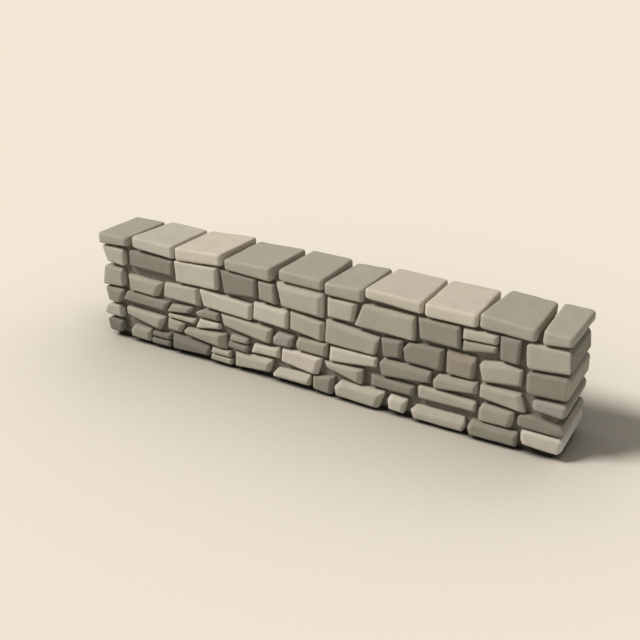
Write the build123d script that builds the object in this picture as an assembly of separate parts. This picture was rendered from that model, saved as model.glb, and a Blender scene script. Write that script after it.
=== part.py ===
"""A free-standing dry stone wall: five courses of face stones on each side of a
packed core, bonded by through stones at both ends, under ten coping slabs."""

from build123d import *
import math
import os
import random

# Driving dimensions, millimetres. +X runs along the wall, -Y is the front, +Z is up.
wall_length = 4000.0       # between the outer faces of the two built ends
wall_height = 814.0        # of the courses
foot_gap = 14.0            # from the ground to the lowest beds: the packing bears the wall
slab_gap = 6.0             # how much more the slabs are lifted, on the packing under them
base_width = 546.0         # across the two faces at the ground
top_width = 478.0          # across the two faces under the coping
stone_spread = 1.0         # how far a stone reaches past its outline on every side
tail_depth = 165.0         # how far a face stone reaches into the wall
joint_depth = 52.0         # how far the packed core stands back from the stone faces
end_recess = 48.0          # how far the core stands back from the built ends
core_rise = 40.0           # how far the packing goes up above the courses, under the slabs
coping_width = 492.0       # slab length, across the wall
coping_thickness = 93.0    # slab thickness where it is even
face_play = 7.0            # how far a face stone stands proud of the face or behind it
face_tilt = 2.0            # degrees by which a stone's face leans off the wall face
wear_least = 12.0          # worn corner round a stone's face, where it is sharpest
wear_most = 28.0           # and where it is bluntest
wear_share = 0.28          # but never more than this share of the stone's height
bed_wear_share = 0.6       # how far the top and bottom edges are worn, against the others
wear_slope = 44.0          # degrees by which a worn corner falls back from the face
chip_slope = 30.0          # the same for the broad chipped corners listed below
end_wear = 24.0            # worn corner along the end of a through stone
end_wear_share = 0.4       # but never more than this share of a side of the stone
slab_wear = 11.0           # worn corner around a coping slab
slab_corner_wear = 20.0    # worn upright corner of a coping slab

# The stones are set out on a grid of steps over the length and the height of the wall.
steps_along = 4000
steps_up = 814

# Each outline goes round one stone as seen from the front, from its lower left corner,
# in steps (along from the middle, up from the ground).
course_1 = [
    [(-1738, 33), (-1524, 27), (-1525, 129), (-1700, 136), (-1745, 76)],
    [(-1512, 86), (-1312, 90), (-1312, 134), (-1508, 122)],
    [(-1510, 23), (-1318, 26), (-1316, 72), (-1512, 64)],
    [(-1286, 31), (-918, 45), (-920, 124), (-1284, 154)],
    [(-886, 88), (-702, 86), (-706, 126), (-876, 130)],
    [(-900, 23), (-688, 21), (-690, 66), (-890, 68)],
    [(-655, 22), (-325, 53), (-298, 158), (-648, 148)],
    [(-288, 23), (50, 38), (50, 126), (-250, 102), (-299, 46)],
    [(70, 22), (240, 12), (252, 156), (68, 120)],
    [(275, 20), (640, 13), (686, 154), (310, 144), (262, 86)],
    [(724, 31), (846, 25), (868, 142), (732, 146), (706, 104)],
    [(915, 16), (1302, 16), (1322, 64), (1308, 124), (940, 120), (897, 70)],
    [(1352, 16), (1698, 16), (1698, 124), (1366, 132), (1338, 70)],
]
course_2 = [
    [(-1786, 222), (-1424, 152), (-1366, 276), (-1775, 289), (-1791, 254)],
    [(-1342, 188), (-1212, 180), (-1160, 268), (-1335, 284)],
    [(-1160, 184), (-740, 146), (-750, 272), (-1137, 240), (-1172, 202)],
    [(-706, 238), (-530, 240), (-534, 277), (-690, 288)],
    [(-718, 182), (-532, 172), (-530, 216), (-712, 225)],
    [(-505, 177), (-236, 195), (-236, 270), (-474, 252)],
    [(-218, 180), (110, 144), (148, 289), (-212, 288)],
    [(190, 236), (493, 170), (496, 286), (168, 276)],
    [(562, 178), (912, 190), (915, 258), (565, 266)],
    [(950, 192), (1384, 201), (1384, 272), (960, 288), (940, 268)],
    [(1410, 148), (1644, 153), (1662, 214), (1660, 274), (1432, 276), (1408, 226)],
]
course_3 = [
    [(-1800, 356), (-1370, 340), (-1326, 418), (-1756, 435)],
    [(-1336, 346), (-1112, 376), (-1072, 430), (-1288, 414)],
    [(-1328, 304), (-1060, 296), (-1048, 330), (-1322, 328)],
    [(-1016, 376), (-812, 376), (-812, 438), (-955, 444), (-1038, 402)],
    [(-1044, 266), (-800, 308), (-802, 348), (-1000, 352)],
    [(-772, 348), (-330, 300), (-306, 420), (-796, 443)],
    [(-276, 310), (-130, 314), (-106, 408), (-248, 415), (-291, 362)],
    [(-72, 312), (186, 316), (192, 417), (-66, 410), (-86, 362)],
    [(212, 298), (602, 336), (606, 410), (214, 408)],
    [(646, 286), (1030, 324), (1034, 412), (660, 422), (624, 376)],
    [(1062, 300), (1388, 342), (1382, 422), (1096, 412), (1056, 359)],
    [(1408, 330), (1736, 298), (1692, 420), (1408, 421)],
]
course_4 = [
    [(-1732, 455), (-1440, 446), (-1382, 577), (-1744, 586)],
    [(-1362, 470), (-1001, 462), (-1009, 608), (-1352, 592)],
    [(-960, 481), (-502, 454), (-498, 582), (-994, 614)],
    [(-475, 482), (-158, 466), (-158, 606), (-470, 617)],
    [(-136, 472), (152, 434), (156, 580), (-136, 614)],
    [(172, 438), (585, 430), (618, 571), (176, 620)],
    [(656, 444), (794, 462), (802, 597), (634, 580)],
    [(830, 444), (1112, 444), (1118, 606), (852, 596), (806, 540)],
    [(1154, 444), (1350, 440), (1352, 599), (1140, 614)],
    [(1412, 446), (1684, 476), (1682, 596), (1535, 614), (1404, 590), (1380, 555)],
]
course_5 = [
    [(-1728, 674), (-1262, 670), (-1260, 794), (-1730, 806)],
    [(-1230, 634), (-814, 644), (-812, 824), (-1238, 806)],
    [(-756, 630), (-450, 659), (-450, 806), (-788, 818)],
    [(-424, 659), (-262, 641), (-286, 797), (-436, 799)],
    [(-217, 644), (145, 624), (148, 822), (-261, 825)],
    [(180, 650), (400, 650), (424, 798), (178, 794)],
    [(418, 636), (896, 624), (886, 802), (480, 812)],
    [(930, 654), (1236, 650), (1222, 806), (906, 808)],
    [(1246, 729), (1495, 742), (1497, 806), (1246, 802)],
    [(1256, 639), (1490, 681), (1494, 726), (1254, 712)],
    [(1524, 642), (1650, 636), (1654, 814), (1508, 814)],
]
courses = [course_1, course_2, course_3, course_4, course_5]

left_end = [
    [(-1976, 36), (-1830, 40), (-1814, 138), (-1998, 148)],
    [(-2018, 182), (-1818, 172), (-1834, 282), (-1988, 280), (-2026, 212)],
    [(-1980, 314), (-1838, 309), (-1786, 436), (-2012, 434)],
    [(-2030, 454), (-1786, 468), (-1784, 612), (-2000, 630)],
    [(-1976, 666), (-1770, 650), (-1766, 796), (-2026, 800)],
]
right_end = [
    [(1724, 60), (2006, 46), (2014, 158), (1718, 162)],
    [(1686, 184), (2004, 178), (2006, 236), (1770, 284), (1692, 278)],
    [(1778, 336), (2004, 320), (2012, 418), (1774, 412)],
    [(1722, 444), (2010, 454), (2006, 612), (1712, 598)],
    [(1706, 620), (2010, 644), (1992, 806), (1688, 806)],
]

# Broad chipped corners: for a course and a stone, counted from 1, the sides of its
# outline, counted from its underside as 0, and how broad the chip is there, in steps.
chips = {
    (1, 1): {1: 30, 2: 26},
    (1, 4): {2: 44},
    (1, 7): {1: 34, 2: 32},
    (1, 8): {2: 50},
    (1, 10): {1: 42, 2: 36},
    (1, 11): {1: 30, 2: 30},
    (1, 12): {2: 26, 3: 52},
    (1, 13): {2: 32},
    (2, 1): {1: 34},
    (2, 2): {1: 28},
    (2, 3): {1: 62, 2: 26},
    (2, 7): {1: 38},
    (2, 8): {1: 36},
    (2, 11): {1: 34, 2: 34, 3: 24},
    (3, 6): {1: 28},
    (3, 7): {1: 30, 2: 26},
    (3, 10): {2: 34},
    (3, 11): {2: 32},
    (3, 12): {1: 34},
    (4, 1): {1: 40, 2: 26},
    (4, 6): {2: 28},
    (4, 9): {2: 46},
    (4, 10): {3: 36},
    (5, 5): {1: 42, 2: 44},
    (5, 7): {2: 26},
}

# One row for a coping slab, in steps: the left and right ends of its seat, seen from
# the front, then how much thicker than even it is at the left and at the right, how far
# its left and right sides run to the right (+) or left (-) towards the back, and how
# much higher it lies at the back.
coping = [
    [(-2034, 813), (-1722, 832), (0, -16), (14, 26), 0],
    [(-1667, 841), (-1240, 814), (0, 16), (40, 0), -6],
    [(-1224, 813), (-768, 849), (12, 2), (21, 24), 0],
    [(-738, 831), (-304, 814), (-10, 20), (15, 28), 0],
    [(-237, 846), (148, 836), (-8, -4), (22, 0), 4],
    [(158, 817), (478, 817), (-2, 12), (24, 6), -4],
    [(492, 863), (946, 835), (-18, 0), (38, -10), -4],
    [(958, 827), (1346, 827), (4, 2), (2, -4), 4],
    [(1358, 835), (1752, 820), (10, 0), (52, 0), 12],
    [(1794, 817), (1992, 838), (8, -20), (-5, 18), 14],
]


def along(steps):
    """Distance from the middle of the wall."""
    return steps * wall_length / steps_along


def rise(steps):
    """Difference in height."""
    return steps * wall_height / steps_up


def up(steps):
    """Height above the ground."""
    return foot_gap + rise(steps)


batter = (base_width - top_width) / 2 / wall_height


def half_width(height):
    """Half the thickness of the wall at a height: the faces lean in as they rise."""
    return base_width / 2 - batter * height


def block(outline):
    """The outline, carried right through the wall and past both faces."""
    corners = [(x, -base_width, z) for x, z in outline]
    face = make_face(Polyline(*corners, close=True))
    return extrude(face, amount=2 * base_width, dir=(0, 1, 0))


def placed(outline):
    """The corners of an outline in millimetres, as (x, z), spread on every side."""
    corners = [Vector(along(x), 0, up(z)) for x, z in outline]
    spread = []
    for number, corner in enumerate(corners):
        ahead = (corners[(number + 1) % len(corners)] - corner).normalized()
        before = (corner - corners[number - 1]).normalized()
        turn = before.X * ahead.Z - before.Z * ahead.X
        moved = corner + (before - ahead) * (stone_spread / turn)
        spread.append((moved.X, moved.Z))
    return spread


def face_plane(corners, side, dice):
    """The plane of a stone's face on the front (side -1) or the back (side 1): on the
    leaning face of the wall, a little proud or behind, and turned a little."""
    x = sum(x for x, z in corners) / len(corners)
    z = sum(z for x, z in corners) / len(corners)
    reach = half_width(z) + face_play * dice.uniform(-1, 1)
    slant = math.tan(math.radians(face_tilt))
    outward = Vector(slant * dice.uniform(-1, 1), side, batter + slant * dice.uniform(-1, 1))
    return Plane(origin=(x, side * reach, z), z_dir=outward.normalized())


def on_plane(plane, x, z):
    """The point of the plane in line with (x, z) along Y."""
    normal, origin = plane.z_dir, plane.origin
    y = origin.Y - (normal.X * (x - origin.X) + normal.Z * (z - origin.Z)) / normal.Y
    return Vector(x, y, z)


def worn_corner(start, end, outer, side, breadth, slope):
    """The plane that takes off the corner between a stone's face and its side from start
    to end, breadth wide on the face and falling back from it by slope degrees."""
    run = Vector(end[0] - start[0], 0, end[1] - start[1]).normalized()
    inward = Vector(-run.Z, 0, run.X) * breadth
    near = on_plane(outer, start[0] + inward.X, start[1] + inward.Z)
    far = on_plane(outer, end[0] + inward.X, end[1] + inward.Z)
    behind = Vector(0, -side * breadth * math.tan(math.radians(slope)), 0)
    rim = on_plane(outer, *start) + behind
    normal = (far - near).cross(rim - near)
    if normal.dot(inward) > 0:
        normal = -normal
    return Plane(origin=near, z_dir=normal.normalized())


def with_face(stone, corners, side, chipped, dice):
    """The stone cut to its face on one side of the wall, with worn corners round it."""
    outer = face_plane(corners, side, dice)
    heights = [z for x, z in corners]
    bluntest = wear_share * (max(heights) - min(heights))
    stone = split(stone, bisect_by=outer, keep=Keep.BOTTOM)
    for number, start in enumerate(corners):
        end = corners[(number + 1) % len(corners)]
        breadth, slope = min(dice.uniform(wear_least, wear_most), bluntest), wear_slope
        if abs(end[0] - start[0]) > abs(end[1] - start[1]):
            breadth = bed_wear_share * breadth
        if number in chipped:
            breadth, slope = rise(chipped[number]), chip_slope
        corner = worn_corner(start, end, outer, side, breadth, slope)
        stone = split(stone, bisect_by=corner, keep=Keep.BOTTOM)
    return stone, outer


def face_stone(outline, side, chipped, dice):
    """A stone of one face of the wall, from its outer face back to its tail."""
    corners = placed(outline)
    stone, outer = with_face(block(corners), corners, side, chipped, dice)
    tail = Plane(origin=outer.origin - (0, side * tail_depth, 0), z_dir=(0, -side, 0))
    return split(stone, bisect_by=tail, keep=Keep.BOTTOM)


def blunt(corners):
    """The outline with each corner cut off along both of its sides."""
    points = []
    for number, (x, z) in enumerate(corners):
        for other in (corners[number - 1], corners[(number + 1) % len(corners)]):
            run = Vector(other[0] - x, 0, other[1] - z)
            step = run.normalized() * min(end_wear, end_wear_share * run.length)
            points.append((x + step.X, z + step.Z))
    return points


def end_stone(outline, dice):
    """A through stone of a built end, which shows on both faces and on the end."""
    corners = placed(outline)
    stone = block(blunt(corners))
    for side in (-1, 1):
        stone, outer = with_face(stone, corners, side, {}, dice)
    return stone


def lean(left, right, lift, back_rise):
    """The plane through a slab's left and right seat points, each lifted by its own
    lift, and rising by back_rise from the front of the slab to its back."""
    start = Vector(along(left[0]), -coping_width / 2, up(left[1]) + slab_gap + lift[0])
    end = Vector(along(right[0]), -coping_width / 2, up(right[1]) + slab_gap + lift[1])
    backwards = Vector(0, coping_width, back_rise)
    return Plane(origin=start, z_dir=(end - start).cross(backwards).normalized())


def coping_slab(left, right, extra, run, back_rise):
    """A flat slab across the top of the wall, level or leaning along it."""
    front, back = -coping_width / 2, coping_width / 2
    plan = [
        (along(left[0]), front),
        (along(right[0]), front),
        (along(right[0] + run[1]), back),
        (along(left[0] + run[0]), back),
    ]
    slab = extrude(make_face(Polyline(*plan, close=True)), amount=2 * wall_height)
    slab = chamfer(slab.edges().filter_by(Axis.Z), slab_corner_wear)
    seat = lean(left, right, (0, 0), rise(back_rise))
    lifts = [coping_thickness + rise(steps) for steps in extra]
    top = lean(left, right, lifts, rise(back_rise))
    slab = split(slab, bisect_by=seat, keep=Keep.TOP)
    slab = split(slab, bisect_by=top, keep=Keep.BOTTOM)
    return chamfer(slab.edges() - slab.edges().filter_by(Axis.Z), slab_wear)


def packed_core(pieces):
    """The packing between the two faces: it fills round the tails of the stones."""
    foot = half_width(0) - joint_depth
    top = up(steps_up) + core_rise
    head = half_width(top) - joint_depth
    length = wall_length - 2 * end_recess
    profile = Polyline((-foot, 0), (foot, 0), (head, top), (-head, top), close=True)
    core = extrude(Plane.YZ.offset(-length / 2) * make_face(profile), amount=length)
    return core - pieces


nodes = {}
for number, course in enumerate(courses, start=1):
    for name, side in (("front", -1), ("back", 1)):
        dice = random.Random(f"{name} {number}")
        nodes[f"{name}_course_{number}"] = [
            face_stone(outline, side, chips.get((number, place), {}), dice)
            for place, outline in enumerate(course, start=1)
        ]
for name, stack in (("left", left_end), ("right", right_end)):
    dice = random.Random(name)
    for number, outline in enumerate(stack, start=1):
        nodes[f"{name}_end_stone_{number}"] = [end_stone(outline, dice)]
for number, row in enumerate(coping, start=1):
    nodes[f"coping_slab_{number:02d}"] = [coping_slab(*row)]
pieces = [piece for group in nodes.values() for piece in group]
nodes["hearting_core"] = [packed_core(pieces)]

os.makedirs("parts", exist_ok=True)
for node, group in nodes.items():
    export_step(Compound(children=group), f"parts/{node}.step")
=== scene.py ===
import math
import random

import bpy
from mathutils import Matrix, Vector


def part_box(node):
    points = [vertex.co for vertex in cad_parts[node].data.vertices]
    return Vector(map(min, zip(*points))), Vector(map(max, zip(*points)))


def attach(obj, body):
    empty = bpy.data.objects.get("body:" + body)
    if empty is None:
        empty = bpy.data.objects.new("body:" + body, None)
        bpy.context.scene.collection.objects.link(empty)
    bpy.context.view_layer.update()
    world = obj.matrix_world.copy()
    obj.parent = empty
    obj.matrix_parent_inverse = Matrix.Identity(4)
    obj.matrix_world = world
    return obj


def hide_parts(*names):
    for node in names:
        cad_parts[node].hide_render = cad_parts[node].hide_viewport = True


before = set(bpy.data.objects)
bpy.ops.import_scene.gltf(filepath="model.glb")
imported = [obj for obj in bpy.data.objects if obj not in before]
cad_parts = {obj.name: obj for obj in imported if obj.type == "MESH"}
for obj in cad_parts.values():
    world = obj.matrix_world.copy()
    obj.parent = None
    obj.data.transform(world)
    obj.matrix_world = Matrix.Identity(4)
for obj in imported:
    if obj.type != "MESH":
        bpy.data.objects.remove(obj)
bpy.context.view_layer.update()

# Dry stone wall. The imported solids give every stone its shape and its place; here each
# one is worn soft and takes its own tone of weathered limestone, round a rough hearting.

bl_info = {
    "name": "Dry Stone Wall",
    "version": (1, 0, 0),
    "blender": (4, 5, 0),
    "location": "View3D > Sidebar > Dry Stone Wall",
    "description": "Dresses the solids of a dry stone wall as weathered stone",
    "category": "Object",
}

# One letter for the tone of each stone, from left to right seen from the front (of two
# stones one above the other the upper one first), and from the ground up at the ends. The
# courses of the back have the tones of the front's, in an order of their own.
FRONT_TONES = {
    "front_course_1": "DNNNBOBBSBPMS",
    "front_course_2": "OODDKPROKOD",
    "front_course_3": "SDMSPMVDPSDO",
    "front_course_4": "OBPPMOKKCO",
    "front_course_5": "KPKDBBOSBDK",
}
END_TONES = {"left": "NBSOB", "right": "PKVKM"}
# The heads of the end stones, in the open at the ends of the wall. Those of the right end
# are painted light and shade: tones lighter or darker than the stones' long sides.
HEAD_TONES_AND_PAINTED_LIGHT = {"left": "NBSOB", "right": "WMDMS"}
COPING_TONES = "grpggglwgg"

# The share of the sky that a place on the floor sees, and how light the floor is painted
# there, as painted shade beside the wall; both from 0 to 1.
FLOOR_SHADE = [
    (0.0, 0.1), (0.30, 0.12), (0.42, 0.38), (0.50, 0.56), (0.80, 0.735), (0.90, 0.85),
    (0.96, 0.95), (1.0, 1.0),
]

MERGE_DISTANCE = 0.00002    # metres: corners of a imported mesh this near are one
GRID_FILL = 0.98            # the most of its remesh grid that a stone fills
STACK_LEAN = 0.2            # how much a stone's height counts in the order of its course
TONE_PLAY = 0.02            # how far stones of one tone differ in brightness
HEAD_NORMAL = 0.6           # how far a head's surface is turned to the end of the wall
TOP_NORMAL = 0.9            # how far a block's top face is turned upwards
TOP_BAND = 0.001            # metres: how far below its highest point the core's top reaches
FOOT_BAND = 0.7             # how far up the core is pressed flat on the ground, in cells
BED_TINT = (0.965, 0.958, 0.95, 1)    # what the beds of a stone leave of its colour
BED_RELIEF = 1.2            # height of the beds against that of the grit
SOIL_BLEND = 0.03           # metres: how deep in a joint the soil takes to cover the stone
ROUGH_PLAY = 0.06           # how far the roughness of a stone varies with its grit
LAMP_DISTANCE = 10          # metres: from the wall to the main lamp


def length(name, description, default, **limits):
    """A setting in metres."""
    return bpy.props.FloatProperty(
        name=name, description=description, default=default, unit="LENGTH", **limits)


def angle(name, description, degrees):
    """A setting in degrees."""
    return bpy.props.FloatProperty(
        name=name, description=description, default=math.radians(degrees), subtype="ANGLE")


def tint(name, description, default):
    """A colour setting."""
    return bpy.props.FloatVectorProperty(
        name=name, description=description, subtype="COLOR", size=3, min=0.0, max=1.0,
        default=default)


class StoneShape(bpy.types.PropertyGroup):
    """How far the weather has worn the stones."""

    grain_size: length(
        "Surface Cell", "Width of one cell of a walling stone's surface", 0.009, min=0.004)
    slab_grain_size: length(
        "Slab Surface Cell", "The same for the coping slabs", 0.010, min=0.004)
    rounding: bpy.props.IntProperty(
        name="Rounding", description="How many times the arrises are rubbed down",
        default=4, min=0)
    swell: length("Swell", "Height of the broad hollows and swellings of a face", 0.005, min=0.0)
    swell_size: length("Swell Size", "Width of the broad hollows and swellings", 0.13, min=0.01)
    pitting: length("Pitting", "Height of the small unevenness of a face", 0.001, min=0.0)
    pitting_size: length("Pitting Size", "Width of the small unevenness", 0.035, min=0.01)


class HeartingShape(bpy.types.PropertyGroup):
    """The packing of small stones between the two faces."""

    cell: length("Surface Cell", "Width of one cell of the packing's surface", 0.017, min=0.006)
    stone_size: length("Packing Stone", "Width of one packed stone", 0.07, min=0.02)
    relief: length("Relief", "Depth of the creases between the packed stones", 0.009, min=0.0)


class WallFinish(bpy.types.PropertyGroup):
    """Colours of the stone."""

    # Painted light: lighter than any stone, for the lowest head of the right end, where the
    # floor throws light up onto it.
    painted_bounce_white: tint("White", "Bleached limestone", (0.700, 0.642, 0.556))
    pale: tint("Pale", "Pale buff limestone", (0.519, 0.462, 0.371))
    buff: tint("Buff", "Buff limestone", (0.440, 0.396, 0.311))
    middling: tint("Middling", "Middling olive limestone", (0.413, 0.369, 0.285))
    ochre: tint("Ochre", "Limestone with a little ochre", (0.388, 0.346, 0.269))
    drab: tint("Drab", "Drab grey stone", (0.332, 0.295, 0.228))
    slate: tint("Slate", "Stone with a touch of slate grey", (0.273, 0.244, 0.187))
    dark: tint("Dark", "Dark weathered stone", (0.243, 0.215, 0.165))
    sooty: tint("Sooty", "Stone kept darkest near the ground", (0.200, 0.178, 0.138))
    rosy: tint("Rosy", "Stone with a touch of rose", (0.568, 0.489, 0.400))
    clay: tint("Clay", "Stone with a touch of clay brown", (0.293, 0.248, 0.183))
    violet: tint("Violet", "Stone with a touch of violet grey", (0.315, 0.276, 0.224))
    slab_grey: tint("Grey Slab", "Grey coping slab", (0.389, 0.348, 0.272))
    slab_rosy: tint("Rosy Slab", "Coping slab with a touch of rose", (0.529, 0.471, 0.379))
    slab_pale: tint("Pale Slab", "Palest coping slab", (0.593, 0.522, 0.413))
    slab_light: tint("Light Slab", "Light buff coping slab", (0.536, 0.475, 0.373))
    slab_warm: tint("Warm Slab", "Light coping slab, a little warmer", (0.566, 0.500, 0.394))
    packing: tint("Packing", "Small packed stones", (0.226, 0.198, 0.154))
    soil: tint("Soil", "Soil and dust in the joints", (0.190, 0.163, 0.125))
    # Painted shadow: near black for the packing's foot, for the shade under the lowest stones.
    painted_foot_shadow: tint("Damp Foot", "Damp soil under the lowest stones", (0.031, 0.026, 0.021))


class WallStage(bpy.types.PropertyGroup):
    """Floor, lamps and camera."""

    floor_size: length("Floor Size", "Side of the square floor", 240.0)
    floor_colour: tint("Floor Colour", "Pale cream floor", (0.888, 0.805, 0.665))
    bounce_colour: tint(
        "Bounce Colour", "Floor colour in the light that it throws on the wall",
        (0.787, 0.795, 0.745))
    foot_shade: bpy.props.FloatProperty(
        name="Foot Shade", description="How much the floor darkens beside the wall",
        default=1.0, min=0.0, max=1.0, subtype="FACTOR")
    foot_shade_reach: length("Foot Shade Reach", "How far that darkening reaches", 5.0)
    sky_level: bpy.props.FloatProperty(
        name="Sky Level", description="Strength of the even light from all round",
        default=0.27, min=0.0)
    lamp_level: bpy.props.FloatProperty(
        name="Lamp Level", description="Strength of the main lamp", default=3.21, min=0.0)
    lamp_spread: angle("Lamp Spread", "Angular size of the main lamp", 18)
    lamp_azimuth: angle(
        "Lamp Azimuth", "Where the main lamp stands, to the left of the front", 55)
    lamp_elevation: angle("Lamp Elevation", "How high the main lamp stands", 45.5)
    camera_place: bpy.props.FloatVectorProperty(
        name="Camera Place", description="Where the camera stands", subtype="XYZ",
        size=3, default=(3.1346, -5.4126, 3.4414))
    camera_azimuth: angle(
        "Camera Azimuth", "How far the camera is turned to its left from facing the front",
        30.172)
    camera_elevation: angle("Camera Elevation", "How far the camera looks down", 25.23)
    camera_lens: bpy.props.FloatProperty(
        name="Lens", description="Focal length in millimetres on a 36 mm sensor",
        default=50.0)


def tone_colours():
    """The colour that each letter of the tone strings stands for."""
    finish = bpy.context.scene.wall_finish
    return {
        "W": finish.painted_bounce_white, "P": finish.pale, "B": finish.buff, "M": finish.middling,
        "O": finish.ochre, "D": finish.drab, "S": finish.slate, "K": finish.dark,
        "N": finish.sooty, "R": finish.rosy, "C": finish.clay, "V": finish.violet,
        "g": finish.slab_grey, "r": finish.slab_rosy, "p": finish.slab_pale,
        "l": finish.slab_light, "w": finish.slab_warm,
    }


# --- Node building -----------------------------------------------------------------

def feed(tree, socket, value):
    """Links a socket from another one, or gives it a plain value."""
    if isinstance(value, bpy.types.NodeSocket):
        tree.links.new(value, socket)
    else:
        socket.default_value = value


def set_up(tree, node, **settings):
    """Sets properties of a node by name, and feeds its inputs values or sockets."""
    for name, value in settings.items():
        if hasattr(node, name):
            setattr(node, name, value)
        else:
            feed(tree, node.inputs[name.replace("_", " ")], value)
    return node


def add_node(tree, kind, place, **settings):
    """A new node of the tree, set up."""
    node = tree.nodes.new(kind)
    node.location = place
    return set_up(tree, node, **settings)


def calculate(tree, operation, place, *terms, kind="ShaderNodeMath", **settings):
    """The result of a maths node whose terms are values or sockets."""
    node = add_node(tree, kind, place, operation=operation, **settings)
    for term, socket in zip(terms, node.inputs):
        feed(tree, socket, term)
    return node.outputs[0]


def mix_colours(tree, place, share, first, second, blend_type="MIX"):
    """The mix of two colours; the share and the colours are values or sockets. Sockets 0,
    6, 7 and 2 of a colour mix are its share, its two colours and its result."""
    node = add_node(tree, "ShaderNodeMix", place, data_type="RGBA", blend_type=blend_type)
    for number, value in ((0, share), (6, first), (7, second)):
        feed(tree, node.inputs[number], value)
    return node.outputs[2]


def opaque(colour):
    """A colour with the full alpha that a colour socket takes."""
    return (*colour, 1)


def new_group(name, inputs, outputs):
    """An empty shader node group, its input sockets as seen from inside and the sockets
    to feed for its outputs. An input is (name, kind, default), an output (name, kind)."""
    group = bpy.data.node_groups.new(name, "ShaderNodeTree")
    for label, kind, default in inputs:
        socket = group.interface.new_socket(label, in_out="INPUT", socket_type=kind)
        socket.default_value = default
    for label, kind in outputs:
        group.interface.new_socket(label, in_out="OUTPUT", socket_type=kind)
    start = add_node(group, "NodeGroupInput", (-900, 0))
    end = add_node(group, "NodeGroupOutput", (900, 0))
    return group, start.outputs, end.inputs


def mottling_group():
    """Cloudy patches of a lighter and a darker shade over a colour."""
    group, given, result = new_group(
        "Mottling",
        [("Color", "NodeSocketColor", (0.5, 0.5, 0.5, 1)),
         ("Patch Scale", "NodeSocketFloat", 9.0),
         ("Fleck Scale", "NodeSocketFloat", 60.0),
         ("Depth", "NodeSocketFloat", 0.12)],
        [("Color", "NodeSocketColor")])
    fleck_share = 0.45
    place = add_node(group, "ShaderNodeTexCoord", (-900, -300)).outputs["Object"]
    patches = add_node(
        group, "ShaderNodeTexNoise", (-650, 100), Vector=place, Scale=given["Patch Scale"],
        Detail=3.0, Roughness=0.5)
    flecks = add_node(
        group, "ShaderNodeTexNoise", (-650, -200), Vector=place, Scale=given["Fleck Scale"],
        Detail=4.0, Roughness=0.6)
    both = calculate(
        group, "MULTIPLY_ADD", (-400, 0), flecks.outputs["Fac"], fleck_share,
        patches.outputs["Fac"])
    level = add_node(
        group, "ShaderNodeMapRange", (-200, 0), Value=both, From_Min=0.45, From_Max=1.0,
        To_Min=-1.0, To_Max=1.0)
    depth = calculate(
        group, "MULTIPLY_ADD", (0, 0), level.outputs["Result"], given["Depth"], 1.0)
    shade = add_node(
        group, "ShaderNodeVectorMath", (250, 0), operation="SCALE", Vector=given["Color"],
        Scale=depth)
    feed(group, result["Color"], shade.outputs[0])
    return group


def bedding_group():
    """Thin level beds of the stone, as a height for bump and as a mask for colour."""
    group, given, result = new_group(
        "Bedding",
        [("Bed Scale", "NodeSocketFloat", 14.0),
         ("Stretch", "NodeSocketFloat", 7.0)],
        [("Height", "NodeSocketFloat"), ("Mask", "NodeSocketFloat")])
    place = add_node(group, "ShaderNodeTexCoord", (-900, -300)).outputs["Object"]
    stretch = add_node(
        group, "ShaderNodeCombineXYZ", (-750, -100), X=1.0, Y=1.0, Z=given["Stretch"])
    flat = calculate(
        group, "MULTIPLY", (-550, -200), place, stretch.outputs[0],
        kind="ShaderNodeVectorMath")
    beds = add_node(
        group, "ShaderNodeTexNoise", (-300, 0), Vector=flat, Scale=given["Bed Scale"],
        Detail=3.0, Roughness=0.55, Distortion=0.4)
    mask = add_node(
        group, "ShaderNodeMapRange", (0, -200), interpolation_type="SMOOTHSTEP",
        Value=beds.outputs["Fac"], From_Min=0.45, From_Max=0.7)
    feed(group, result["Height"], beds.outputs["Fac"])
    feed(group, result["Mask"], mask.outputs["Result"])
    return group


def grit_group():
    """Fine grain and small pits, as a height for bump."""
    group, given, result = new_group(
        "Grit",
        [("Grain Scale", "NodeSocketFloat", 220.0),
         ("Pit Scale", "NodeSocketFloat", 70.0),
         ("Pit Depth", "NodeSocketFloat", 0.6)],
        [("Height", "NodeSocketFloat")])
    place = add_node(group, "ShaderNodeTexCoord", (-900, -300)).outputs["Object"]
    grain = add_node(
        group, "ShaderNodeTexNoise", (-600, 100), Vector=place, Scale=given["Grain Scale"],
        Detail=3.0, Roughness=0.65)
    pits = add_node(
        group, "ShaderNodeTexVoronoi", (-600, -200), feature="F1", Vector=place,
        Scale=given["Pit Scale"], Randomness=1.0)
    hollow = add_node(
        group, "ShaderNodeMapRange", (-350, -200), interpolation_type="SMOOTHSTEP",
        Value=pits.outputs["Distance"], From_Min=0.05, From_Max=0.35)
    height = calculate(
        group, "MULTIPLY_ADD", (0, 0), hollow.outputs["Result"], given["Pit Depth"],
        grain.outputs["Fac"])
    feed(group, result["Height"], height)
    return group


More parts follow.
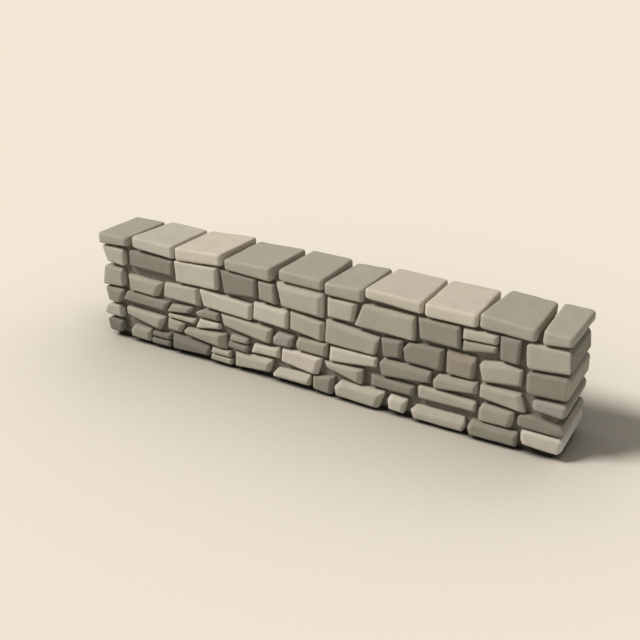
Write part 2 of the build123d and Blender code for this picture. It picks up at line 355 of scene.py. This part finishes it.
def joint_soil_group():
    """A mask that is 1 deep in the joints of the wall and 0 on its leaning faces and on
    its ends. Start and Full are the depths between which it rises."""
    group, given, result = new_group(
        "Joint Soil",
        [("Half Length", "NodeSocketFloat", 2.0),
         ("Half Width", "NodeSocketFloat", 0.273),
         ("Batter", "NodeSocketFloat", 0.042),
         ("Start", "NodeSocketFloat", 0.02),
         ("Full", "NodeSocketFloat", 0.05)],
        [("Mask", "NodeSocketFloat")])
    place = add_node(group, "ShaderNodeTexCoord", (-900, -300)).outputs["Object"]
    parts = add_node(group, "ShaderNodeSeparateXYZ", (-700, -200), Vector=place).outputs
    lengthwise = calculate(group, "ABSOLUTE", (-500, -400), parts["X"])
    across = calculate(group, "ABSOLUTE", (-500, -200), parts["Y"])
    lean = calculate(group, "MULTIPLY", (-500, 0), parts["Z"], given["Batter"])
    surface = calculate(group, "SUBTRACT", (-300, 0), given["Half Width"], lean)
    behind_face = calculate(group, "SUBTRACT", (-100, 0), surface, across)
    behind_end = calculate(group, "SUBTRACT", (-100, -300), given["Half Length"], lengthwise)
    depth = calculate(group, "MINIMUM", (100, -100), behind_face, behind_end)
    mask = add_node(
        group, "ShaderNodeMapRange", (300, 0), interpolation_type="SMOOTHSTEP",
        Value=depth, From_Min=given["Start"], From_Max=given["Full"])
    feed(group, result["Mask"], mask.outputs["Result"])
    return group


GROUP_MAKERS = {
    "Mottling": mottling_group,
    "Bedding": bedding_group,
    "Grit": grit_group,
    "Joint Soil": joint_soil_group,
}


def use_group(tree, name, place, **settings):
    """A node that uses one of the shared groups, built the first time it is asked for."""
    group = bpy.data.node_groups.get(name) or GROUP_MAKERS[name]()
    node = add_node(tree, "ShaderNodeGroup", place, node_tree=group)
    return set_up(tree, node, **settings)


# --- Materials of the stone --------------------------------------------------------

def new_material(name):
    """A material with the tree and the shader that are in it."""
    material = bpy.data.materials.new(name)
    material.use_nodes = True
    tree = material.node_tree
    shader = tree.nodes["Principled BSDF"]
    shader.location = (600, 0)
    tree.nodes["Material Output"].location = (900, 0)
    return material, tree, shader


def dressed_stone(name, rough, mottle_depth, soil_start):
    """Weathered limestone: the stone's own tone, mottled, with thin level beds, fine grit
    and soil where it runs back into the joints."""
    finish = bpy.context.scene.wall_finish
    material, tree, shader = new_material(name)
    tone = add_node(tree, "ShaderNodeAttribute", (-900, 200), attribute_name="tone")
    mottled = use_group(
        tree, "Mottling", (-650, 200), Color=tone.outputs["Color"], Depth=mottle_depth)
    beds = use_group(tree, "Bedding", (-900, -200))
    streaked = mix_colours(
        tree, (-350, 150), beds.outputs["Mask"], mottled.outputs["Color"], BED_TINT,
        blend_type="MULTIPLY")
    soil = use_group(
        tree, "Joint Soil", (-650, -50), Start=soil_start, Full=soil_start + SOIL_BLEND)
    soiled = mix_colours(
        tree, (-100, 100), soil.outputs["Mask"], streaked, opaque(finish.soil))
    grit = use_group(tree, "Grit", (-650, -350))
    height = calculate(
        tree, "MULTIPLY_ADD", (-350, -250), beds.outputs["Height"], BED_RELIEF,
        grit.outputs["Height"])
    bump = add_node(
        tree, "ShaderNodeBump", (200, -250), Strength=0.3, Distance=0.002, Height=height)
    sheen = add_node(
        tree, "ShaderNodeMapRange", (-100, -100), Value=grit.outputs["Height"],
        To_Min=rough - ROUGH_PLAY, To_Max=rough + ROUGH_PLAY)
    set_up(
        tree, shader, Base_Color=soiled, Normal=bump.outputs["Normal"],
        Roughness=sheen.outputs["Result"], Specular_IOR_Level=0.25)
    return material


def packed_stone():
    """Small packed stones with soil between them, in the depth of the wall, and painted
    shadow at the foot: near black up to a few centimetres above the ground."""
    finish = bpy.context.scene.wall_finish
    material, tree, shader = new_material("packed stone")
    place = add_node(tree, "ShaderNodeTexCoord", (-1150, 100)).outputs["Object"]
    cells = add_node(
        tree, "ShaderNodeTexVoronoi", (-900, 250), feature="F1", Vector=place, Scale=16.0)
    each = add_node(
        tree, "ShaderNodeSeparateColor", (-700, 250), Color=cells.outputs["Color"])
    tones = mix_colours(
        tree, (-500, 250), each.outputs[0], opaque(finish.soil), opaque(finish.packing))
    mottled = use_group(
        tree, "Mottling", (-250, 250), Color=tones, Depth=0.10, Patch_Scale=14.0)
    height = add_node(tree, "ShaderNodeSeparateXYZ", (-700, 0), Vector=place)
    # Painted shadow: the packing's colour runs to near black below 7 cm, for the shade under the
    # lowest stones; dry is the share above it.
    dry = add_node(
        tree, "ShaderNodeMapRange", (-500, 0), interpolation_type="SMOOTHSTEP",
        Value=height.outputs["Z"], From_Min=0.02, From_Max=0.07)
    foot_shadowed = mix_colours(
        tree, (0, 200), dry.outputs["Result"], opaque(finish.painted_foot_shadow), mottled.outputs["Color"])
    grit = use_group(tree, "Grit", (-500, -250), Grain_Scale=120.0, Pit_Scale=45.0)
    bump = add_node(
        tree, "ShaderNodeBump", (200, -250), Strength=0.5, Distance=0.004,
        Height=grit.outputs["Height"])
    set_up(
        tree, shader, Base_Color=foot_shadowed, Normal=bump.outputs["Normal"], Roughness=0.95,
        Specular_IOR_Level=0.15)
    return material


def shared_stone(name, **values):
    """The dressed stone of that name, made the first time it is asked for."""
    return bpy.data.materials.get(name) or dressed_stone(name, **values)


def walling_material():
    """Stone of the courses and the ends, with soil far back in its joints."""
    return shared_stone("walling stone", rough=0.86, mottle_depth=0.05, soil_start=0.032)


def coping_material():
    """Stone with the soil kept off: the slabs lie in the open."""
    return shared_stone("coping stone", rough=0.84, mottle_depth=0.035, soil_start=1.0)


# --- Mesh building -----------------------------------------------------------------

def deselect_all():
    """Leaves edit mode and selects nothing."""
    if bpy.context.object and bpy.context.object.mode != "OBJECT":
        bpy.ops.object.mode_set(mode="OBJECT")
    bpy.ops.object.select_all(action="DESELECT")


def take_hold(thing):
    """Selects one object alone and makes it the active one."""
    deselect_all()
    thing.select_set(True)
    bpy.context.view_layer.objects.active = thing


def node_copy(node, name):
    """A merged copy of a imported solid's mesh, as a new object of its own."""
    copy = bpy.data.objects.new(name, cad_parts[node].data.copy())
    bpy.context.scene.collection.objects.link(copy)
    copy.data.materials.clear()
    take_hold(copy)
    bpy.ops.object.mode_set(mode="EDIT")
    bpy.ops.mesh.select_all(action="SELECT")
    bpy.ops.mesh.remove_doubles(threshold=MERGE_DISTANCE)
    bpy.ops.object.mode_set(mode="OBJECT")
    return copy


def apply_modifier(thing, kind, **settings):
    """Adds a modifier to the active object and applies it."""
    modifier = thing.modifiers.new(kind.lower(), kind)
    for name, value in settings.items():
        setattr(modifier, name, value)
    bpy.ops.object.modifier_apply(modifier=modifier.name)


def clouds(name, size, depth):
    """Texture for broad or fine unevenness."""
    texture = bpy.data.textures.get(name)
    if texture is None:
        texture = bpy.data.textures.new(name, "CLOUDS")
        texture.noise_scale = size
        texture.noise_depth = depth
        texture.noise_basis = "BLENDER_ORIGINAL"
    return texture


def wear_stone(stone, cell):
    """Rubs down a sharp-edged stone and makes its faces uneven. Its surface gets cells of
    the given width, whatever the stone's size."""
    shape = bpy.context.scene.stone_shape
    take_hold(stone)
    longest = max(stone.dimensions)
    depth = math.ceil(math.log2(longest / (GRID_FILL * cell)))
    fill = longest / (cell * 2 ** depth)
    apply_modifier(stone, "REMESH", mode="SHARP", octree_depth=depth, scale=fill)
    apply_modifier(stone, "SMOOTH", factor=0.5, iterations=shape.rounding)
    apply_modifier(
        stone, "DISPLACE", texture=clouds("swell", shape.swell_size, depth=1),
        texture_coords="LOCAL", strength=shape.swell, mid_level=0.25)
    apply_modifier(
        stone, "DISPLACE", texture=clouds("pitting", shape.pitting_size, depth=2),
        texture_coords="LOCAL", strength=shape.pitting, mid_level=0.5)


def middle(stone):
    """The middle of a stone's box."""
    corners = [Vector(corner) for corner in stone.bound_box]
    return sum(corners, Vector()) / len(corners)


def reading_order(stone):
    """Sorts stones from left to right, and of two stones one above the other puts the
    upper one first."""
    place = middle(stone)
    return place.x - STACK_LEAN * place.z


def paint_tone(stone, side, head):
    """Gives every corner of a stone the tone of its sides, or of its head where it faces the
    nearer end of the wall, as an attribute the material reads. At the right end the head's
    colour is painted light and shade."""
    outwards = math.copysign(1, middle(stone).x)
    layer = stone.data.color_attributes.new("tone", "FLOAT_COLOR", "POINT")
    for vertex, value in zip(stone.data.vertices, layer.data):
        value.color = opaque(head if outwards * vertex.normal.x > HEAD_NORMAL else side)


def finish_piece(piece, name, material):
    """Gives a piece its name and its material and smooths its shading."""
    take_hold(piece)
    bpy.ops.object.shade_smooth()
    piece.name = name
    piece.data.name = name
    piece.data.materials.clear()
    piece.data.materials.append(material)


def place_piece(piece, node):
    """Hides the imported solid that the piece takes the place of and hangs the piece on the root
    body.
    """
    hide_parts(node)
    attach(piece, "root")


def dress_node(node, tones, cell, material, heads=None):
    """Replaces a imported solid, of one stone or of a course, with its worn stones."""
    palette = tone_colours()
    name = node + "_dressed"
    node_copy(node, name)
    bpy.ops.object.mode_set(mode="EDIT")
    bpy.ops.mesh.select_all(action="SELECT")
    bpy.ops.mesh.separate(type="LOOSE")
    bpy.ops.object.mode_set(mode="OBJECT")
    stones = sorted(bpy.context.selected_objects, key=reading_order)
    if len(stones) != len(tones):
        raise ValueError(f"{node} has {len(stones)} stones and {len(tones)} tones")
    dice = random.Random(node)
    for stone, tone, head in zip(stones, tones, heads or tones):
        wear_stone(stone, cell)
        share = 1 + TONE_PLAY * dice.uniform(-1, 1)
        side_colour = [channel * share for channel in palette[tone]]
        head_colour = [channel * share for channel in palette[head]]
        paint_tone(stone, side_colour, head_colour)
    take_hold(stones[0])
    for stone in stones:
        stone.select_set(True)
    if len(stones) > 1:
        bpy.ops.object.join()
    piece = bpy.context.object
    finish_piece(piece, name, material)
    place_piece(piece, node)


def battered_block(low, high, head):
    """A block from corner to corner, its top narrowed to reach head from its middle."""
    deselect_all()
    bpy.ops.mesh.primitive_cube_add(size=1, location=(low + high) / 2, scale=high - low)
    block = bpy.context.object
    bpy.ops.object.transform_apply(location=True, rotation=True, scale=True)
    bpy.ops.object.mode_set(mode="EDIT")
    bpy.ops.mesh.select_all(action="DESELECT")
    bpy.ops.object.mode_set(mode="OBJECT")
    for face in block.data.polygons:
        face.select = face.normal.z > TOP_NORMAL
    bpy.ops.object.mode_set(mode="EDIT")
    bpy.ops.transform.resize(value=(1, head / high.y, 1))
    bpy.ops.object.mode_set(mode="OBJECT")
    return block


def press_foot(thing, band):
    """Presses all of the active object that is lower than band flat on the ground."""
    for vertex in thing.data.vertices:
        vertex.select = vertex.co.z < band
    bpy.ops.object.mode_set(mode="EDIT")
    bpy.ops.transform.resize(value=(1, 1, 0), center_override=(0, 0, 0))
    bpy.ops.object.mode_set(mode="OBJECT")


def packed_creases(size):
    """Texture of the creases round packed stones of one size."""
    creases = bpy.data.textures.new("packing", "VORONOI")
    creases.noise_scale = size
    creases.weight_1 = -1.0
    creases.weight_2 = 1.0
    return creases


# --- The steps of the work ---------------------------------------------------------

class WALL_OT_face_courses(bpy.types.Operator):
    """Dresses the five courses of the front and the five of the back"""

    bl_idname = "wall.face_courses"
    bl_label = "Face Courses"

    def execute(self, context):
        cell = context.scene.stone_shape.grain_size
        for node, tones in FRONT_TONES.items():
            dress_node(node, tones, cell, walling_material())
            back = node.replace("front", "back")
            shuffled = "".join(random.Random(back).sample(tones, len(tones)))
            dress_node(back, shuffled, cell, walling_material())
        return {"FINISHED"}


class WALL_OT_end_stones(bpy.types.Operator):
    """Dresses the through stones of the two built ends"""

    bl_idname = "wall.end_stones"
    bl_label = "End Stones"

    def execute(self, context):
        cell = context.scene.stone_shape.grain_size
        for end, tones in END_TONES.items():
            for number, (tone, head) in enumerate(zip(tones, HEAD_TONES_AND_PAINTED_LIGHT[end]), start=1):
                node = f"{end}_end_stone_{number}"
                dress_node(node, tone, cell, walling_material(), head)
        return {"FINISHED"}


class WALL_OT_coping_slabs(bpy.types.Operator):
    """Dresses the flat slabs along the top"""

    bl_idname = "wall.coping_slabs"
    bl_label = "Coping Slabs"

    def execute(self, context):
        cell = context.scene.stone_shape.slab_grain_size
        for number, tone in enumerate(COPING_TONES, start=1):
            node = f"coping_slab_{number:02d}"
            dress_node(node, tone, cell, coping_material())
        return {"FINISHED"}


class WALL_OT_hearting(bpy.types.Operator):
    """Builds the rough packing of small stones between the two faces"""

    bl_idname = "wall.hearting"
    bl_label = "Hearting"

    def execute(self, context):
        shape = context.scene.hearting_shape
        low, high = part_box("hearting_core")
        corners = [vertex.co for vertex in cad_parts["hearting_core"].data.vertices]
        head = max(abs(corner.y) for corner in corners if corner.z > high.z - TOP_BAND)
        core = battered_block(low, high, head)
        take_hold(core)
        apply_modifier(core, "REMESH", mode="VOXEL", voxel_size=shape.cell)
        apply_modifier(
            core, "DISPLACE", texture=packed_creases(shape.stone_size),
            texture_coords="LOCAL", strength=shape.relief, mid_level=0.7)
        apply_modifier(core, "SMOOTH", factor=0.5, iterations=1)
        press_foot(core, FOOT_BAND * shape.cell)
        finish_piece(core, "hearting", packed_stone())
        place_piece(core, "hearting_core")
        return {"FINISHED"}


# --- Stage -------------------------------------------------------------------------

def seen_directly(tree):
    """A socket that is 1 for what the camera, a gloss or clear glass sees, and 0 for what
    only throws light on other things."""
    path = add_node(tree, "ShaderNodeLightPath", (-1000, 300)).outputs
    some = calculate(
        tree, "ADD", (-700, 300), path["Is Camera Ray"], path["Is Glossy Ray"])
    return calculate(
        tree, "ADD", (-500, 300), some, path["Is Transmission Ray"], use_clamp=True)


def floor_material():
    """Cream floor whose colour darkens softly beside the wall: painted shade."""
    stage = bpy.context.scene.wall_stage
    material, tree, shader = new_material("cream floor")
    sky_seen = add_node(
        tree, "ShaderNodeAmbientOcclusion", (-700, 0), samples=16,
        Distance=stage.foot_shade_reach)
    fall = add_node(
        tree, "ShaderNodeValToRGB", (-400, 0), Fac=sky_seen.outputs["AO"])
    stops = fall.color_ramp.elements
    for stop, (position, level) in zip(stops, (FLOOR_SHADE[0], FLOOR_SHADE[-1])):
        stop.position = position
        stop.color = (level, level, level, 1)
    for position, level in FLOOR_SHADE[1:-1]:
        stops.new(position).color = (level, level, level, 1)
    plain = mix_colours(
        tree, (-200, 250), seen_directly(tree), opaque(stage.bounce_colour),
        opaque(stage.floor_colour))
    shaded = mix_colours(
        tree, (0, 0), stage.foot_shade, plain, fall.outputs["Color"], blend_type="MULTIPLY")
    set_up(tree, shader, Base_Color=shaded, Roughness=1.0, Specular_IOR_Level=0.0)
    return material


def light_world():
    """Even light from all round; the cream of the floor is what the camera sees of it."""
    stage = bpy.context.scene.wall_stage
    world = bpy.data.worlds.new("studio")
    world.use_nodes = True
    bpy.context.scene.world = world
    tree = world.node_tree
    light = set_up(
        tree, tree.nodes["Background"], Color=(1, 1, 1, 1), Strength=stage.sky_level)
    seen = add_node(
        tree, "ShaderNodeBackground", (0, -200), Color=opaque(stage.floor_colour),
        Strength=1.0)
    mix = add_node(tree, "ShaderNodeMixShader", (200, 100), Fac=seen_directly(tree))
    feed(tree, mix.inputs[1], light.outputs[0])
    feed(tree, mix.inputs[2], seen.outputs[0])
    set_up(tree, tree.nodes["World Output"], Surface=mix.outputs[0])


def lay_floor(stage):
    """The plain square floor."""
    deselect_all()
    bpy.ops.mesh.primitive_plane_add(size=stage.floor_size, location=(0, 0, 0))
    floor = bpy.context.object
    floor.name = "floor"
    floor.data.materials.append(floor_material())


def hang_lamp(stage):
    """The main lamp, far off and soft, turned to the middle of the wall's foot."""
    flat = math.cos(stage.lamp_elevation)
    towards = Vector((
        -math.sin(stage.lamp_azimuth) * flat,
        -math.cos(stage.lamp_azimuth) * flat,
        math.sin(stage.lamp_elevation)))
    bpy.ops.object.light_add(type="SUN", location=towards * LAMP_DISTANCE)
    lamp = bpy.context.object
    lamp.name = "main lamp"
    lamp.data.energy = stage.lamp_level
    lamp.data.angle = stage.lamp_spread
    lamp.rotation_euler = towards.to_track_quat("Z", "Y").to_euler()


def set_camera(stage):
    """The camera, which sees as far as the floor reaches."""
    tilt = math.pi / 2 - stage.camera_elevation
    bpy.ops.object.camera_add(
        location=stage.camera_place, rotation=(tilt, 0, stage.camera_azimuth))
    camera = bpy.context.object
    camera.name = "camera"
    camera.data.lens = stage.camera_lens
    camera.data.clip_end = 2 * stage.floor_size
    bpy.context.scene.camera = camera


class WALL_OT_stage(bpy.types.Operator):
    """Lays the floor and sets the lamps and the camera"""

    bl_idname = "wall.stage"
    bl_label = "Stage"

    def execute(self, context):
        stage = context.scene.wall_stage
        lay_floor(stage)
        light_world()
        hang_lamp(stage)
        set_camera(stage)
        context.scene.view_settings.view_transform = "Standard"
        return {"FINISHED"}


class WALL_PT_panel(bpy.types.Panel):
    """Lists the steps that dress the wall and the sizes and colours they use"""

    bl_idname = "WALL_PT_panel"
    bl_label = "Dry Stone Wall"
    bl_space_type = "VIEW_3D"
    bl_region_type = "UI"
    bl_category = "Dry Stone Wall"

    def draw(self, context):
        for operator in OPERATORS:
            self.layout.operator(operator.bl_idname)
        for name in GROUPS:
            box = self.layout.box()
            settings = getattr(context.scene, name)
            for prop in settings.bl_rna.properties:
                if prop.identifier not in ("rna_type", "name"):
                    box.prop(settings, prop.identifier)


GROUPS = {
    "stone_shape": StoneShape,
    "hearting_shape": HeartingShape,
    "wall_finish": WallFinish,
    "wall_stage": WallStage,
}
OPERATORS = (
    WALL_OT_face_courses, WALL_OT_end_stones, WALL_OT_coping_slabs,
    WALL_OT_hearting, WALL_OT_stage,
)


def register():
    for group in GROUPS.values():
        bpy.utils.register_class(group)
    for operator in OPERATORS:
        bpy.utils.register_class(operator)
    bpy.utils.register_class(WALL_PT_panel)
    for name, group in GROUPS.items():
        setattr(bpy.types.Scene, name, bpy.props.PointerProperty(type=group))


def unregister():
    for name in GROUPS:
        delattr(bpy.types.Scene, name)
    bpy.utils.unregister_class(WALL_PT_panel)
    for operator in reversed(OPERATORS):
        bpy.utils.unregister_class(operator)
    for group in reversed(list(GROUPS.values())):
        bpy.utils.unregister_class(group)


def main():
    """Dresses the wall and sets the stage."""
    register()
    bpy.ops.wall.face_courses()
    bpy.ops.wall.end_stones()
    bpy.ops.wall.coping_slabs()
    bpy.ops.wall.hearting()
    bpy.ops.wall.stage()


if __name__ == "__main__":
    main()
